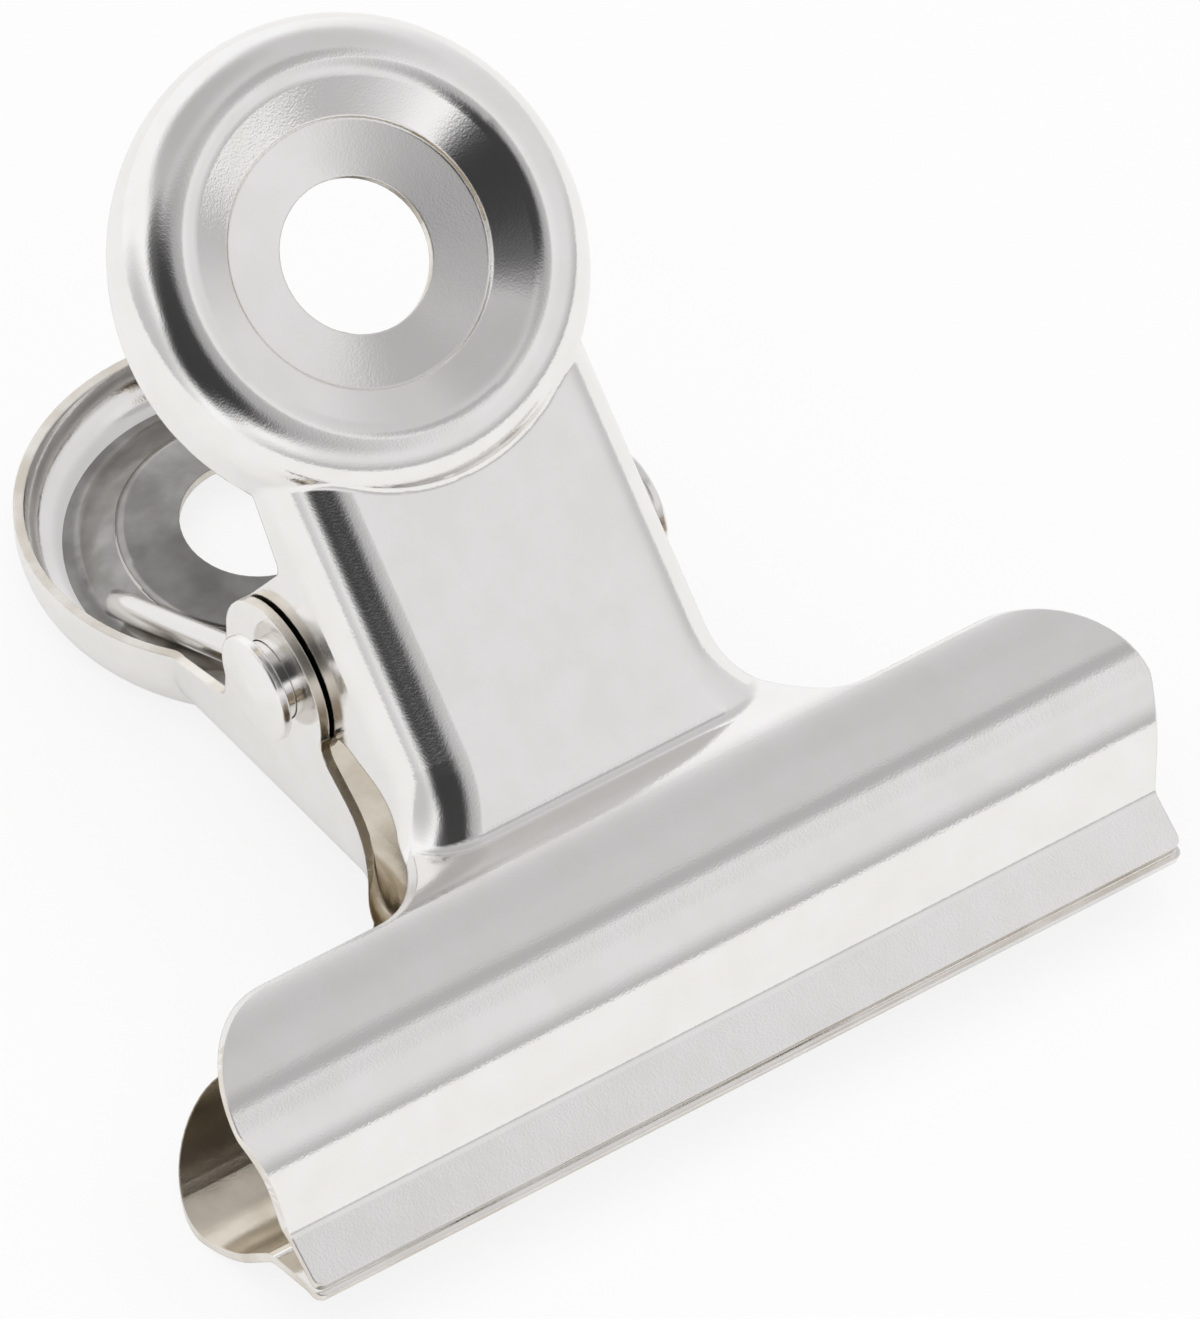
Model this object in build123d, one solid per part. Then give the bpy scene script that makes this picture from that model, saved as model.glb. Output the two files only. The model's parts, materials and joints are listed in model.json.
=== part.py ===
from build123d import *
import math
import os

os.makedirs("parts", exist_ok=True)

# Bulldog clip, in mm and degrees.
# The arms are drawn with the pin axis on X, the discs towards +Y and the paper on the plane Z = 0.
# At the end the clip is laid down on its rear arm.

# Sheet of the arms
sheet = 0.5

# Jaw seen from the side: lip, valley, web, bulge, shoulder and crease
lip_reach = 27.6
lip_air = 0.06
lip_length = 2.8
lip_angle = 15.5
valley_radius = 0.8
web_angle = 62.5
bulge_height = 6.31
bulge_share = 0.52
shoulder_angle = 36.9
shoulder_share = 0.39
crease_reach = 13.1
crease_height = 4.4
crease_radius = 0.8

# Jaw seen from the front
jaw_width = 51.0
lip_taper = 1.2
taper_reach = 21.0
taper_bend = 2.0
lip_corner = 0.5
front_lip_straight = 2.7
rear_lip_straight = 0.8
rear_lip_more = 0.35
wing_corner = 5.3
wing_drop = 0.9

# Neck: a channel folded down on both sides, flaring into the jaw
front_neck_width = 17.5
ear_air = 0.15
neck_angle = 26.0
fold_radius = 3.0
flare_radius = 5.0
neck_short = 4.8

# Finger disc: shallow ring round the hanging hole, step, cone, rolled bead and skirt
disc_tilt = 17.25
disc_reach = 15.76
disc_radius = 11.6
hole_radius = 3.75
ring_radius = 6.4
ring_angle = 8.0
ring_step = 0.2
step_run = 0.12
step_bend = 0.08
dish_depth = 1.35
brow_radius = 8.6
brow_bend = 1.6
bead_bend = 2.6
bead_rise = 1.43
bead_foot = 0.5
skirt_flare = 1.5

# Free edge of the folded sides, seen from the side
ear_radius = 4.05
ear_lean_start = 0.5
notch_reach = 2.4
notch_height = 6.4
notch_radius = 0.9
rim_reach = 6.0
rim_height = 9.2
rim_angle = 24.2
rim_bend = 1.0
flank_height = 2.4
flank_reach = 10.6
flank_bend = 2.0
ear_root_height = 1.3
ear_root_radius = 1.4
rear_flank_drop = 1.1
flank_share = 0.4
wing_edge_reach = 14.6
wing_edge_height = 3.9

# Pin with a domed head at each end
pin_radius = 2.0
pin_fit = 0.05
head_radius = 2.7
head_rim = 0.5
head_round = 0.15
head_dome = 0.2
left_play = 0.65
right_play = 1.2

# Torsion spring on the pin
wire = 1.4
coil_air = 0.43
coil_length = 11.0
turns_whole = 5
leg_length = 18.35
leg_angle = 40.8
leg_splay = 3.0

# Room beyond the sheet for the tools that shape it
beyond = 6.0
far = 30.0

# Sizes that follow from the ones above
front_half = front_neck_width / 2
rear_half = front_half + ear_air + sheet
jaw_half = jaw_width / 2
coil_radius = pin_radius + coil_air + wire / 2


def slope(angle):
    return math.tan(math.radians(angle))


def heading(angle):
    return Vector(math.cos(math.radians(angle)), math.sin(math.radians(angle)))


# Corners of the jaw's outer face in the side view
lip = Vector(-lip_reach, lip_air / 2 + sheet / math.cos(math.radians(lip_angle)))
valley = lip + heading(lip_angle) * lip_length
brow = Vector(valley.X + (bulge_height - valley.Y) / slope(web_angle), bulge_height)
crease = Vector(-crease_reach, crease_height)
shoulder = Vector(crease.X - (bulge_height - crease_height) / slope(shoulder_angle), bulge_height)
jaw_end = crease + heading(-shoulder_angle) * beyond

# The crown between them is rounded from both sides, each bend taking its share of the length
crown = shoulder.X - brow.X
bulge_radius = crown * bulge_share / slope(web_angle / 2)
shoulder_radius = crown * shoulder_share / slope(shoulder_angle / 2)

# The bead of the disc stands above the neck where they meet
disc_way = heading(disc_tilt)
disc_up = heading(90 + disc_tilt)
neck_run = disc_reach - disc_radius - crease.dot(disc_way)
crest_rise = crease.dot(disc_up) + neck_run * slope(neck_angle - disc_tilt) + bead_rise
crest = disc_way * disc_reach + disc_up * crest_rise
disc_plane = Plane(origin=(0, crest.X, crest.Y), x_dir=(1, 0, 0), z_dir=(0, disc_up.X, disc_up.Y))

neck_up = heading(90 + neck_angle)
neck_plane = Plane(origin=(0, crease.X, crease.Y), x_dir=(1, 0, 0), z_dir=(0, neck_up.X, neck_up.Y))
neck_end = neck_plane.to_local_coords(disc_plane.origin).Y - neck_short


def bent(corners, radii, depth, lead=0):
    """A bent line of corners, moved to its right by depth and led back from its first corner."""
    ways = [(b - a).normalized() for a, b in zip(corners, corners[1:])]
    rights = [Vector(way.Y, -way.X) for way in ways]
    moved = [corners[0] + rights[0] * depth - ways[0] * lead]
    bends = []
    for i in range(1, len(ways)):
        both = rights[i - 1] + rights[i]
        moved.append(corners[i] + both * (depth / (1 + rights[i - 1].dot(rights[i]))))
        turn = math.copysign(1, ways[i - 1].cross(ways[i]).Z)
        bends.append(max(radii[i - 1] + turn * depth, 0))
    moved.append(corners[-1] + rights[-1] * depth)
    return FilletPolyline(*moved, radius=bends)


def jaw_form(depth, lead):
    """The jaw filled in down to below the paper, its skin moved in by depth and led on past the lip."""
    corners = [lip, valley, brow, shoulder, jaw_end]
    skin = bent(corners, [valley_radius, bulge_radius, shoulder_radius], depth, lead)
    skin += Polyline(skin @ 1, ((skin @ 1).X, -far), ((skin @ 0).X, -far), skin @ 0)
    return extrude(Plane.YZ * make_face(skin), far, both=True)


def neck_outline(half, foot_half, foot_length, depth):
    """Flat outline of the neck with its flare into the jaw, moved in by depth."""
    foot_top = -wing_drop - depth
    stem = Rectangle(2 * (half - depth), neck_end - foot_top, align=(Align.CENTER, Align.MIN))
    foot = Rectangle(2 * foot_half, foot_length, align=(Align.CENTER, Align.MAX))
    outline = Pos(0, foot_top) * (stem + foot)
    flares = [v for v in outline.vertices() if abs(v.X) < half + sheet and v.Y < 0]
    return fillet(flares, flare_radius + depth)


def neck_form(half, depth):
    """The neck as a block with rounded top edges, moved in by depth, ending inside the bead."""
    outline = neck_outline(half, half + flare_radius + fold_radius, beyond, depth)
    block = extrude(neck_plane.offset(-depth) * outline, -far)
    top = block.faces().sort_by(Axis(neck_plane.origin, neck_plane.z_dir))[-1]
    middles = [(edge, neck_plane.to_local_coords(edge @ 0.5).Y) for edge in top.edges()]
    sides = [edge for edge, along in middles if -wing_drop - 2 * sheet < along < neck_end - sheet]
    block = fillet(sides, fold_radius - depth)
    return block - disc_plane * Cylinder(brow_radius + brow_bend / 2, 2 * far)


def disc_form(depth):
    """The finger disc filled in downwards, its skin moved in by depth."""
    ring = Vector(ring_radius, -dish_depth)
    step = ring + Vector(step_run, ring_step)
    middle = Vector(0, ring.Y - ring_radius * slope(ring_angle))
    skirt_end = Vector(disc_radius + far * slope(skirt_flare), -far)
    corners = [middle, ring, step, Vector(brow_radius, 0), Vector(disc_radius, 0), skirt_end]
    skin = bent(corners, [step_bend, step_bend, brow_bend, bead_bend], depth)
    skin += Polyline(skin @ 1, (0, (skin @ 1).Y), skin @ 0)
    return disc_plane * revolve(Plane.XZ * make_face(skin), Axis.Z)


def whole_form(jaw, half, depth):
    """Jaw, neck and disc in one, bent where they meet, moved in by depth."""
    folded = jaw + neck_form(half, depth)
    fold = folded.edges().filter_by(Axis.X).sort_by_distance((0, crease.X, crease.Y))[0]
    folded = fillet(fold, crease_radius + depth)
    disc = disc_form(depth)
    joined = folded + disc
    meeting = new_edges(folded, disc, combined=joined)
    foot = [edge for edge in meeting if disc_plane.to_local_coords(edge @ 0.5).Z > beyond - far]
    return fillet(foot, bead_foot + depth)


def side_cut(drop):
    """What is cut away below the free edge of the folded sides, set lower by drop at the ear's root."""
    rim = Vector(rim_reach, rim_height)
    rim_end = rim + heading(rim_angle) * far
    notch = Vector(notch_reach, notch_height)
    ear_side = Vector(math.sqrt(ear_radius**2 - ear_lean_start**2), ear_lean_start)
    disc_side = FilletPolyline(rim_end, rim, notch, ear_side, radius=[rim_bend, notch_radius])
    disc_side += Polyline(ear_side, (ear_radius, -far), (rim_end.X, -far), rim_end)
    wing_edge = Vector(-wing_edge_reach, wing_edge_height)
    flank = Vector(-flank_reach, flank_height - drop * flank_share)
    ear_root = Vector(-ear_radius, ear_root_height - drop)
    ear_foot = Vector(-ear_radius, -far)
    jaw_side = FilletPolyline(wing_edge, flank, ear_root, ear_foot, radius=[flank_bend, ear_root_radius])
    jaw_side += Polyline(ear_foot, (-wing_edge_reach, -far), wing_edge)
    under = Pos(0, -far / 2) * Rectangle(2 * ear_radius, far)
    waste = make_face(disc_side) + make_face(jaw_side) + under - Circle(ear_radius)
    return extrude(Plane.YZ * waste, far, both=True)


def jaw_ends(straight, more):
    """The jaw's ends in the front view, straight along the lip, which reaches further by more."""
    lip_end = -lip_reach - more
    corners = [
        (jaw_half, far),
        (jaw_half, -taper_reach),
        (jaw_half - lip_taper, lip_end + straight),
        (jaw_half - lip_taper, lip_end),
        (lip_taper - jaw_half, lip_end),
        (lip_taper - jaw_half, lip_end + straight),
        (-jaw_half, -taper_reach),
        (-jaw_half, far),
    ]
    bends = [taper_bend, taper_bend, lip_corner, lip_corner, taper_bend, taper_bend]
    sheet_ends = FilletPolyline(*corners, radius=bends)
    sheet_ends += Line(corners[-1], corners[0])
    return extrude(make_face(sheet_ends), far, both=True)


def wings(half):
    """The jaw's outline square to the neck, with rounded wing corners."""
    outline = neck_outline(half, jaw_half, far, sheet / 2)
    corners = [v for v in outline.vertices() if abs(v.X) > jaw_half - sheet and v.Y > -wing_drop - sheet]
    return extrude(neck_plane * fillet(corners, wing_corner), far, both=True)


def arm(half, drop, straight, more):
    """One arm, outside towards +Z, by its neck's half width, its flank's drop and its lip's ends."""
    outside = whole_form(jaw_form(0, more) & jaw_ends(straight, more) & wings(half), half, 0)
    inside = whole_form(jaw_form(sheet, beyond), half, sheet)
    skin = outside - inside - side_cut(drop)
    skin -= disc_plane * Cylinder(hole_radius, far)
    skin -= Rot(Y=90) * Cylinder(pin_radius + pin_fit, 2 * far)
    return skin.solid()


def pin():
    """The pin, turned about X."""
    left = -rear_half - left_play
    right = rear_half + right_play
    left_tip = Vector(left - head_rim - head_dome, 0)
    right_tip = Vector(right + head_rim + head_dome, 0)
    left_rim = Vector(left - head_rim, head_radius)
    right_rim = Vector(right + head_rim, head_radius)
    half_section = TangentArc(left_tip, left_rim, tangent=(0, 1))
    half_section += Polyline(
        left_rim,
        (left, head_radius),
        (left, pin_radius),
        (right, pin_radius),
        (right, head_radius),
        right_rim,
    )
    half_section += TangentArc(right_tip, right_rim, tangent=(0, 1))
    half_section += Line(left_tip, right_tip)
    section = make_face(half_section)
    rims = [v for v in section.vertices() if v.Y > pin_radius + pin_fit]
    return revolve(fillet(rims, head_round), Axis.X).solid()


def biarc(start, start_way, end, end_way):
    """Two arcs that run into each other, from one point and direction to another."""
    chord = end - start
    ways = start_way + end_way
    across = chord.dot(ways)
    spread = 2 * (1 - start_way.dot(end_way))
    reach = (math.sqrt(across**2 + spread * chord.dot(chord)) - across) / spread
    joint = (start + start_way * reach + end - end_way * reach) * 0.5
    first = TangentArc(start, joint, tangent=start_way)
    second = TangentArc(joint, end, tangent=first % 1)
    return [first.edge(), second.edge()]


def spring():
    """The wire: rear leg, coil round the pin and front leg, in one tube."""
    start_angle = 270 - leg_angle
    turned = 360 * turns_whole + 180 - 2 * leg_angle
    steps = round(turned / 90)
    advance = coil_length / math.radians(turned) / coil_radius
    points = []
    ways = []
    for i in range(steps + 1):
        angle = start_angle - turned * i / steps
        out = heading(angle)
        points.append(Vector(coil_length * (i / steps - 0.5), out.X * coil_radius, out.Y * coil_radius))
        ways.append(Vector(advance, out.Y, -out.X).normalized())
    ways[0] = Vector(leg_splay / leg_length, ways[0].Y, ways[0].Z).normalized()
    ways[-1] = Vector(leg_splay / leg_length, ways[-1].Y, ways[-1].Z).normalized()
    edges = [Line(points[0] - ways[0] * leg_length, points[0]).edge()]
    for i in range(steps):
        edges += biarc(points[i], ways[i], points[i + 1], ways[i + 1])
    edges.append(Line(points[-1], points[-1] + ways[-1] * leg_length).edge())
    path = Wire(edges)
    tube = sweep(Plane(origin=path @ 0, z_dir=path % 0) * Circle(wire / 2), path)
    return tube.solid(), path


def least_gap(path):
    """Least air between turns of the wire, measured on points along its middle line."""
    count = round(path.length / (wire / 5))
    points = [tuple(path @ (i / count)) for i in range(count + 1)]
    apart = round(math.pi * coil_radius / path.length * count)
    nearest = far
    for i in range(count + 1):
        for j in range(i + apart, count + 1):
            nearest = min(nearest, math.dist(points[i], points[j]))
    return nearest - wire


front_arm = arm(front_half, 0, front_lip_straight, 0)
rear_form = arm(rear_half, rear_flank_drop, rear_lip_straight, rear_lip_more)
rear_arm = mirror(rear_form, about=Plane.XY)
pivot_pin = pin()
torsion_spring, wire_path = spring()

# The clip lies on its rear arm, in the middle of X and Y, on Z = 0
pieces = {
    "front_arm": front_arm,
    "rear_arm": rear_arm,
    "pivot_pin": pivot_pin,
    "torsion_spring": torsion_spring,
}
lying = {name: Rot(X=disc_tilt) * piece for name, piece in pieces.items()}
box = Compound(list(lying.values())).bounding_box()
table = Pos(-box.center().X, -box.center().Y, -box.min.Z)
for name, piece in lying.items():
    export_step(table * piece, f"parts/{name}.step")

print("size", [round(side, 3) for side in tuple(box.size)])
print("pin axis at", [round(v, 4) for v in tuple((table * Rot(X=disc_tilt)).position)])
print("least gap of the wire to itself", round(least_gap(wire_path), 3))
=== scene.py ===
import json
import math

import bpy
from mathutils import Matrix, Vector
from mathutils.bvhtree import BVHTree


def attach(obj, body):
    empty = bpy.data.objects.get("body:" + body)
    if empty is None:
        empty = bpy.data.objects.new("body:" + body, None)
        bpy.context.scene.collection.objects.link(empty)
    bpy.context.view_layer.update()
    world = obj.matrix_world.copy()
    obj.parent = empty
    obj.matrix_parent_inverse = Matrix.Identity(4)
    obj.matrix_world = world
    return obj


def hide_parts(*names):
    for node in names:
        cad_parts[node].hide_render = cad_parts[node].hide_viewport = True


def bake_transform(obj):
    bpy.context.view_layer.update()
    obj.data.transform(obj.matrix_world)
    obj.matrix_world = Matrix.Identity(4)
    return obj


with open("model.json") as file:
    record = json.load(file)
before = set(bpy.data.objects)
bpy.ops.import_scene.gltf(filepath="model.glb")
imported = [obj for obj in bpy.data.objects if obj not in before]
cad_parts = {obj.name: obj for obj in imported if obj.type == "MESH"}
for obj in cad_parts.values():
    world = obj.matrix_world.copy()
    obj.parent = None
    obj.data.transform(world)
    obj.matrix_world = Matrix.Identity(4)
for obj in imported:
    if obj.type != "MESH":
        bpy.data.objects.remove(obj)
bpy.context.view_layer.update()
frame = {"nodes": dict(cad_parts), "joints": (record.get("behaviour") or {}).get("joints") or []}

MM = 0.001
pin = Vector(frame["joints"][0]["pos_m"])

# Camera of the photograph: its direction from the pin, its roll, and where it aims beside the pin
CAMERA_AZIMUTH = -34.461
CAMERA_ELEVATION = 49.718
CAMERA_ROLL = 0.8921
CAMERA_DISTANCE = 939.40 * MM
CAMERA_SIGHT = 100.0
AIM_RIGHT = 7.486 * MM
AIM_UP = -3.01 * MM
SENSOR = 36.0
LENS = 545.87

# Spring wire, as in the solids
WIRE = 1.4 * MM
WIRE_CHAMFER = 0.14 * MM
COIL_RADIUS = 3.13 * MM
COIL_LENGTH = 11.0 * MM
WHOLE_TURNS = 5
LEG_LENGTH = 18.35 * MM
LEG_ANGLE = 40.8
LEG_SPLAY = 3.0 * MM
CLIP_TILT = 17.25
# Its mesh: sides of the tube, degrees of the coil in one step, and steps along a leg
WIRE_SIDES = 28
WIRE_STEP = 5.0
LEG_STEPS = 12
# The marks on the drawn wire are this many times longer than wide
WIRE_DRAWN = 12.0

# Sheet of the arms: a ray that starts under a face's skin and meets nothing within this depth
# went in at a cut edge
SHEET_THROUGH = 0.75 * MM
SKIN = 0.002 * MM
# The inside of the sheet is duller and darker, with painted shade in a browner tint, but not along
# the lip and not in the open cup of the rear disc
LIP_REACH = -24.7 * MM
CUP_REACH = 5.0 * MM
UNDER_SKIN = 10.0 * MM
# The dish in that cup is darker, with painted shade and a painted dark reflection: its middle and
# its reach
DISH_MIDDLE = Vector((0, 15.4)) * MM
DISH_RADIUS = 9.4 * MM

# Plating: the sizes of its clouds, its orange peel and its grain
CLOUD_SIZE = 2.4 * MM
PEEL_SIZE = 0.7 * MM
GRAIN_SIZE = 0.11 * MM
# Levels of the clouds between which the tint and the gloss change
TINT_LEVELS = (0.3, 0.72)
GLOSS_LEVELS = (0.28, 0.75)
BEVEL_SAMPLES = 6

# Floor: half its side, its depth under the clip, its white, and how much of it glows by itself
# to the camera and in the metal
FLOOR_REACH = 6.0
FLOOR_DROP = 0.02 * MM
FLOOR_WHITE = 0.95
FLOOR_GLOW = 0.8
FLOOR_GLOW_IN_METAL = 0.3

# Studio as the metal mirrors it: a white tent, slightly blue, also where it is grey
TENT_WHITE = (1.0, 1.01, 1.03)
TENT_BLUE = 1.02
# Its grey and dark places: azimuth, elevation, the angles where each is full and where it ends,
# and its level
TENT_PLACES = (
    (70, 25, 25, 75, 0.76),
    (20, 20, 15, 45, 0.8),
    (0, 90, 18, 42, 0.6),
    (130, 62, 12, 38, 0.62),
    (-170, 68, 8, 30, 0.5),
    (35, 50, 5, 18, 0.85),
    (55, 64, 2, 10, 0.47),
    (-95, 4, 8, 38, 0.6),
    (-10, 55, 6, 32, 0.4),
    (-72, 57, 5, 23, 0.12),
    (-54, 33, 6, 24, 0.05),
    (-36, 50, 14, 29, 0.045),
)
# A dim strip over the horizon: the height it fades out at, its azimuth, its angles and its level
STRIP_HEIGHT = 0.36
STRIP_AZIMUTH = 20
STRIP_ANGLES = (40, 75)
STRIP_LEVEL = 0.5
# The light comes mostly from overhead, so that the shadow gathers under the clip
OVERHEAD_ANGLES = (30, 50)
OVERHEAD_LIGHT = (1.55, 1.55, 1.55)
AROUND_LIGHT = (0.55, 0.55, 0.55)
WHITE = (1.0, 1.0, 1.0)


def toward(azimuth, elevation):
    """The direction of an azimuth, from the front to the right, and an elevation, in degrees."""
    a = math.radians(azimuth)
    e = math.radians(elevation)
    return Vector((math.sin(a) * math.cos(e), -math.cos(a) * math.cos(e), math.sin(e)))


def node(tree, kind, inputs=None, **settings):
    """A shader node with its settings, and its inputs given as values or as sockets to link."""
    made = tree.nodes.new(kind)
    for name, value in settings.items():
        setattr(made, name, value)
    for name, value in (inputs or {}).items():
        if isinstance(value, bpy.types.NodeSocket):
            tree.links.new(value, made.inputs[name])
        else:
            made.inputs[name].default_value = value
    return made


def math_node(tree, operation, a, b):
    """The result of an operation on two values."""
    return node(tree, "ShaderNodeMath", {0: a, 1: b}, operation=operation).outputs[0]


def opaque(colour):
    """A colour for a node's input: a socket as it is, or three numbers with a full alpha."""
    return colour if isinstance(colour, bpy.types.NodeSocket) else (*colour, 1.0)


def colour_mix(tree, factor, a, b):
    """A blend of two colours, by a socket."""
    inputs = {0: factor, 6: opaque(a), 7: opaque(b)}
    return node(tree, "ShaderNodeMix", inputs, data_type="RGBA").outputs[2]


def ramp(tree, value, low, high, to_low=0.0, to_high=1.0):
    """A soft step of a value from one level to another."""
    inputs = {0: value, 1: low, 2: high, 3: to_low, 4: to_high}
    return node(tree, "ShaderNodeMapRange", inputs, interpolation_type="SMOOTHSTEP").outputs[0]


def noise(tree, where, size, detail):
    """Noise with features of about the given size, in metres of the coordinates."""
    inputs = {"Vector": where, "Scale": 1 / size, "Detail": detail}
    return node(tree, "ShaderNodeTexNoise", inputs).outputs["Fac"]


def bump(tree, height, depth, normal):
    """A normal that follows a height of the given depth."""
    inputs = {"Strength": 1.0, "Distance": depth, "Height": height, "Normal": normal}
    return node(tree, "ShaderNodeBump", inputs).outputs[0]


def metal(name, clean, dull, smooth, rough, peel, grain, edge, coordinates="Object"):
    """Plated metal: two tints, two levels of gloss, orange peel, grain and soft edges."""
    made = bpy.data.materials.new(name)
    made.use_nodes = True
    tree = made.node_tree
    tree.nodes.clear()
    where = node(tree, "ShaderNodeTexCoord").outputs[coordinates]
    cloud = noise(tree, where, CLOUD_SIZE, detail=3.0)
    speck = noise(tree, where, GRAIN_SIZE, detail=1.0)
    wave = noise(tree, where, PEEL_SIZE, detail=2.0)
    tint = colour_mix(tree, ramp(tree, cloud, *TINT_LEVELS), clean, dull)
    gloss = ramp(tree, cloud, *GLOSS_LEVELS, smooth, rough)
    rounded = node(tree, "ShaderNodeBevel", {"Radius": edge}, samples=BEVEL_SAMPLES).outputs[0]
    waved = bump(tree, wave, peel, rounded)
    grained = bump(tree, speck, grain, waved)
    shader = node(
        tree,
        "ShaderNodeBsdfPrincipled",
        {"Base Color": tint, "Metallic": 1.0, "Roughness": gloss, "Normal": grained},
    )
    node(tree, "ShaderNodeOutputMaterial", {"Surface": shader.outputs[0]})
    return made


plated_sheet = metal(
    "plated_sheet",
    clean=(0.91, 0.893, 0.873),
    dull=(0.885, 0.865, 0.842),
    smooth=0.085,
    rough=0.12,
    peel=0.0022 * MM,
    grain=0.0036 * MM,
    edge=0.13 * MM,
)
# Inside of the sheet: painted shade, a darker and browner tint than the plated outside
shaded_inner_sheet = metal(
    "shaded_inner_sheet",
    clean=(0.72, 0.655, 0.555),
    dull=(0.61, 0.545, 0.445),
    smooth=0.16,
    rough=0.22,
    peel=0.003 * MM,
    grain=0.003 * MM,
    edge=0.1 * MM,
)
# Dish of the rear cup: painted shade and a painted dark reflection, a much darker tint
shaded_dish_sheet = metal(
    "shaded_dish_sheet",
    clean=(0.42, 0.405, 0.385),
    dull=(0.27, 0.258, 0.243),
    smooth=0.13,
    rough=0.2,
    peel=0.003 * MM,
    grain=0.002 * MM,
    edge=0.1 * MM,
)
sheared_edge = metal(
    "sheared_edge",
    clean=(0.89, 0.85, 0.79),
    dull=(0.74, 0.68, 0.59),
    smooth=0.2,
    rough=0.34,
    peel=0.008 * MM,
    grain=0.004 * MM,
    edge=0.12 * MM,
)
plated_pin = metal(
    "plated_pin",
    clean=(0.93, 0.915, 0.895),
    dull=(0.88, 0.86, 0.83),
    smooth=0.13,
    rough=0.22,
    peel=0.004 * MM,
    grain=0.0018 * MM,
    edge=0.14 * MM,
)
spring_wire = metal(
    "spring_wire",
    clean=(0.88, 0.865, 0.84),
    dull=(0.76, 0.735, 0.7),
    smooth=0.16,
    rough=0.26,
    peel=0.003 * MM,
    grain=0.002 * MM,
    edge=0.05 * MM,
    coordinates="UV",
)

# Materials of an arm, and where all but the plated outside stand among them
SHEET_MATERIALS = (plated_sheet, sheared_edge, shaded_inner_sheet, shaded_dish_sheet)
SHEARED, SHADED_INNER, SHADED_DISH = 1, 2, 3


def arm(name, body, stands_for, outside):
    """An arm's sheet. Its cut edges, its duller inside with painted shade and its dish with painted
    shade and a painted dark reflection get materials of their own.
    """
    mesh = frame["nodes"][stands_for].data.copy()
    mesh.materials.clear()
    for material in SHEET_MATERIALS:
        mesh.materials.append(material)
    clip_turn = Matrix.Rotation(math.radians(-CLIP_TILT), 3, "X")
    tree = BVHTree.FromPolygons([v.co for v in mesh.vertices], [p.vertices for p in mesh.polygons])
    for face in mesh.polygons:
        start = face.center - face.normal * SKIN
        through = tree.ray_cast(start, -face.normal, SHEET_THROUGH)[0]
        place = clip_turn @ (face.center - pin)
        from_under = Vector((place.x, 0, outside * UNDER_SKIN))
        inside = (clip_turn @ face.normal).dot(from_under) < 0
        hidden = place.y > LIP_REACH and (outside > 0 or place.y < CUP_REACH)
        dished = outside < 0 and (face.center.xy - DISH_MIDDLE).length < DISH_RADIUS
        if through is None:
            face.material_index = SHEARED
        # Inward faces away from the lip and the open cup get the painted shade
        elif inside and hidden:
            face.material_index = SHADED_INNER
        # Inward faces of the rear dish get the painted shade and dark reflection
        elif inside and dished:
            face.material_index = SHADED_DISH
    made = bpy.data.objects.new(name, mesh)
    bpy.context.scene.collection.objects.link(made)
    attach(made, body)
    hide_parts(stands_for)


def spring_line():
    """Points of the wire's middle line, each with the direction out of the coil there."""
    start = math.radians(270 - LEG_ANGLE + CLIP_TILT)
    turned = math.radians(360 * WHOLE_TURNS + 180 - 2 * LEG_ANGLE)
    quarter = math.pi / 2
    leg_rise = LEG_SPLAY / LEG_LENGTH
    coil_rise = COIL_LENGTH / (turned * COIL_RADIUS)
    flat_leg = LEG_LENGTH / math.sqrt(1 + leg_rise**2)

    def across(angle):
        """X at an angle of the coil. Its first and last quarter run into the slope of the legs."""
        straight = COIL_LENGTH * (angle / turned - 0.5)
        nearest = min(angle, turned - angle)
        share = min(nearest / quarter, 1.0)
        lift = (leg_rise - coil_rise) * quarter * COIL_RADIUS * share * (1 - share) ** 2
        return straight + math.copysign(lift, turned / 2 - angle)

    def at(x, out, along):
        """The point at x and at an angle out of the coil, moved along the tangent there."""
        side = Vector((0, math.cos(out), math.sin(out)))
        way = Vector((0, math.sin(out), -math.cos(out)))
        return pin + Vector((x, 0, 0)) + side * COIL_RADIUS + way * along, side

    points = []
    tip = WIRE_CHAMFER / flat_leg
    for share in [1.0, 1.0 - tip] + [1 - i / LEG_STEPS for i in range(1, LEG_STEPS)]:
        points.append(at(-COIL_LENGTH / 2 - flat_leg * share * leg_rise, start, -flat_leg * share))
    steps = round(math.degrees(turned) / WIRE_STEP)
    for i in range(steps + 1):
        angle = turned * i / steps
        points.append(at(across(angle), start - angle, 0))
    end = start - turned
    for share in [i / LEG_STEPS for i in range(1, LEG_STEPS)] + [1.0 - tip, 1.0]:
        points.append(at(COIL_LENGTH / 2 + flat_leg * share * leg_rise, end, flat_leg * share))
    return points


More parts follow.
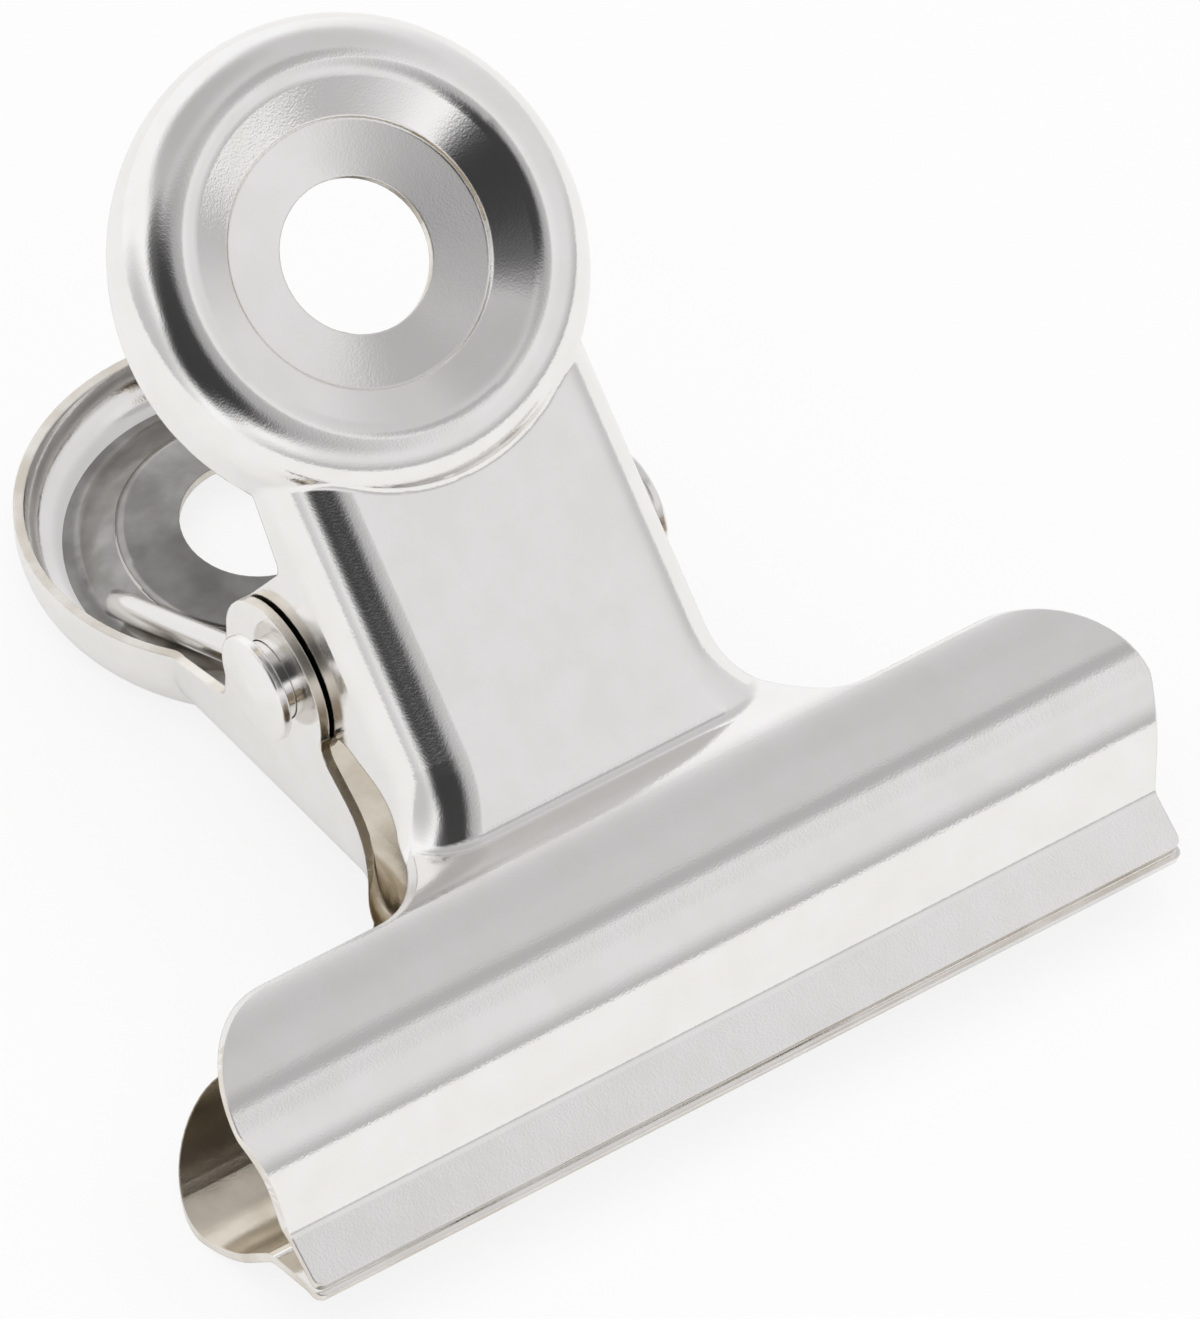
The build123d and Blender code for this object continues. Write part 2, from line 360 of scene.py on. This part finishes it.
def spring():
    """The wire as one round tube with lightly chamfered ends."""
    line = spring_line()
    last = len(line) - 1
    lengths = [0.0]
    for before, after in zip(line, line[1:]):
        lengths.append(lengths[-1] + (after[0] - before[0]).length)
    verts = []
    for i, (point, side) in enumerate(line):
        before = line[max(i - 1, 0)][0]
        after = line[min(i + 1, last)][0]
        way = (after - before).normalized()
        out = (side - way * side.dot(way)).normalized()
        other = way.cross(out)
        radius = WIRE / 2 - (WIRE_CHAMFER if i in (0, last) else 0)
        for k in range(WIRE_SIDES):
            a = 2 * math.pi * k / WIRE_SIDES
            verts.append(point + (out * math.cos(a) + other * math.sin(a)) * radius)
    faces = []
    for i in range(last):
        for k in range(WIRE_SIDES):
            m = (k + 1) % WIRE_SIDES
            a = i * WIRE_SIDES
            b = a + WIRE_SIDES
            faces.append((a + k, a + m, b + m, b + k))
    faces.append(tuple(reversed(range(WIRE_SIDES))))
    faces.append(tuple(range(last * WIRE_SIDES, (last + 1) * WIRE_SIDES)))
    mesh = bpy.data.meshes.new("wound_wire")
    mesh.from_pydata(verts, [], faces)
    mesh.update()
    # Coordinates along and round the wire, where the last side of a ring ends past its first corner
    layer = mesh.uv_layers.new(name="along")
    for face in mesh.polygons:
        tube = len(face.vertices) == 4
        face.use_smooth = tube
        closing = tube and max(v % WIRE_SIDES for v in face.vertices) == WIRE_SIDES - 1
        for corner in face.loop_indices:
            ring, k = divmod(mesh.loops[corner].vertex_index, WIRE_SIDES)
            if closing and k == 0:
                k = WIRE_SIDES
            girth = math.pi * WIRE * k / WIRE_SIDES
            layer.data[corner].uv = (lengths[ring] / WIRE_DRAWN, girth)
    mesh.materials.append(spring_wire)
    made = bpy.data.objects.new("wound_wire", mesh)
    bpy.context.scene.collection.objects.link(made)
    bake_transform(made)
    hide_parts("torsion_spring")


arm("front_sheet", "front", "front_arm", 1)
arm("rear_sheet", "rear", "rear_arm", -1)
spring()
headed_pin = frame["nodes"]["pivot_pin"]
headed_pin.material_slots[0].link = "OBJECT"
headed_pin.material_slots[0].material = plated_pin

# Camera
back = toward(CAMERA_AZIMUTH, CAMERA_ELEVATION)
sideways = Vector((0, 0, 1)).cross(back).normalized()
right = Matrix.Rotation(math.radians(CAMERA_ROLL), 3, back) @ sideways
up = back.cross(right)
camera = bpy.data.objects.new("camera", bpy.data.cameras.new("camera"))
bpy.context.scene.collection.objects.link(camera)
camera.data.sensor_width = SENSOR
camera.data.lens = LENS
camera.data.clip_end = CAMERA_SIGHT
stand = Matrix((right, up, back)).transposed().to_4x4()
stand.translation = pin + right * AIM_RIGHT + up * AIM_UP + back * CAMERA_DISTANCE
camera.matrix_world = stand
bpy.context.scene.camera = camera

# Floor: white, and the shadow of the clip stays on it
floor_mesh = bpy.data.meshes.new("floor")
ways = ((-1, -1), (1, -1), (1, 1), (-1, 1))
corners = [(x * FLOOR_REACH, y * FLOOR_REACH, -FLOOR_DROP) for x, y in ways]
floor_mesh.from_pydata(corners, [], [(0, 1, 2, 3)])
floor = bpy.data.objects.new("floor", floor_mesh)
bpy.context.scene.collection.objects.link(floor)
floor_paint = bpy.data.materials.new("floor")
floor_paint.use_nodes = True
tree = floor_paint.node_tree
tree.nodes.clear()
matt = node(tree, "ShaderNodeBsdfDiffuse", {"Color": opaque((FLOOR_WHITE,) * 3)})
glow = node(tree, "ShaderNodeEmission", {"Color": opaque(WHITE), "Strength": 1.0})
rays = node(tree, "ShaderNodeLightPath").outputs
seen = math_node(tree, "MULTIPLY", rays["Is Camera Ray"], FLOOR_GLOW)
mirrored = math_node(tree, "MAXIMUM", rays["Is Glossy Ray"], rays["Is Transmission Ray"])
in_metal = math_node(tree, "MULTIPLY", mirrored, FLOOR_GLOW_IN_METAL)
share = math_node(tree, "MAXIMUM", seen, in_metal)
both = node(tree, "ShaderNodeMixShader", {0: share, 1: matt.outputs[0], 2: glow.outputs[0]})
node(tree, "ShaderNodeOutputMaterial", {"Surface": both.outputs[0]})
floor_mesh.materials.append(floor_paint)

# Studio
world = bpy.data.worlds.new("studio")
bpy.context.scene.world = world
world.use_nodes = True
tree = world.node_tree
tree.nodes.clear()
way = node(tree, "ShaderNodeTexCoord").outputs["Generated"]


def lobe(azimuth, elevation, inner, outer):
    """1 within the inner angle of a direction and 0 beyond the outer one."""
    inputs = {0: way, 1: toward(azimuth, elevation)}
    dot = node(tree, "ShaderNodeVectorMath", inputs, operation="DOT_PRODUCT").outputs["Value"]
    return ramp(tree, dot, math.cos(math.radians(outer)), math.cos(math.radians(inner)))


tent = TENT_WHITE
for *place, level in TENT_PLACES:
    tent = colour_mix(tree, lobe(*place), tent, (level, level, level * TENT_BLUE))
height = node(tree, "ShaderNodeSeparateXYZ", {0: way}).outputs["Z"]
low = ramp(tree, height, STRIP_HEIGHT, 0.0)
strip = math_node(tree, "MULTIPLY", low, lobe(STRIP_AZIMUTH, 0, *STRIP_ANGLES))
tent = colour_mix(tree, strip, tent, (STRIP_LEVEL, STRIP_LEVEL, STRIP_LEVEL * TENT_BLUE))
light = colour_mix(tree, lobe(0, 90, *OVERHEAD_ANGLES), AROUND_LIGHT, OVERHEAD_LIGHT)
rays = node(tree, "ShaderNodeLightPath").outputs
lit = colour_mix(tree, rays["Is Glossy Ray"], light, tent)
# Behind the clip the camera sees plain white
white = math_node(tree, "MAXIMUM", rays["Is Camera Ray"], rays["Is Transmission Ray"])
shown = colour_mix(tree, white, lit, WHITE)
sky = node(tree, "ShaderNodeBackground", {"Color": shown, "Strength": 1.0})
node(tree, "ShaderNodeOutputWorld", {"Surface": sky.outputs[0]})

bpy.context.scene.view_settings.view_transform = "Standard"
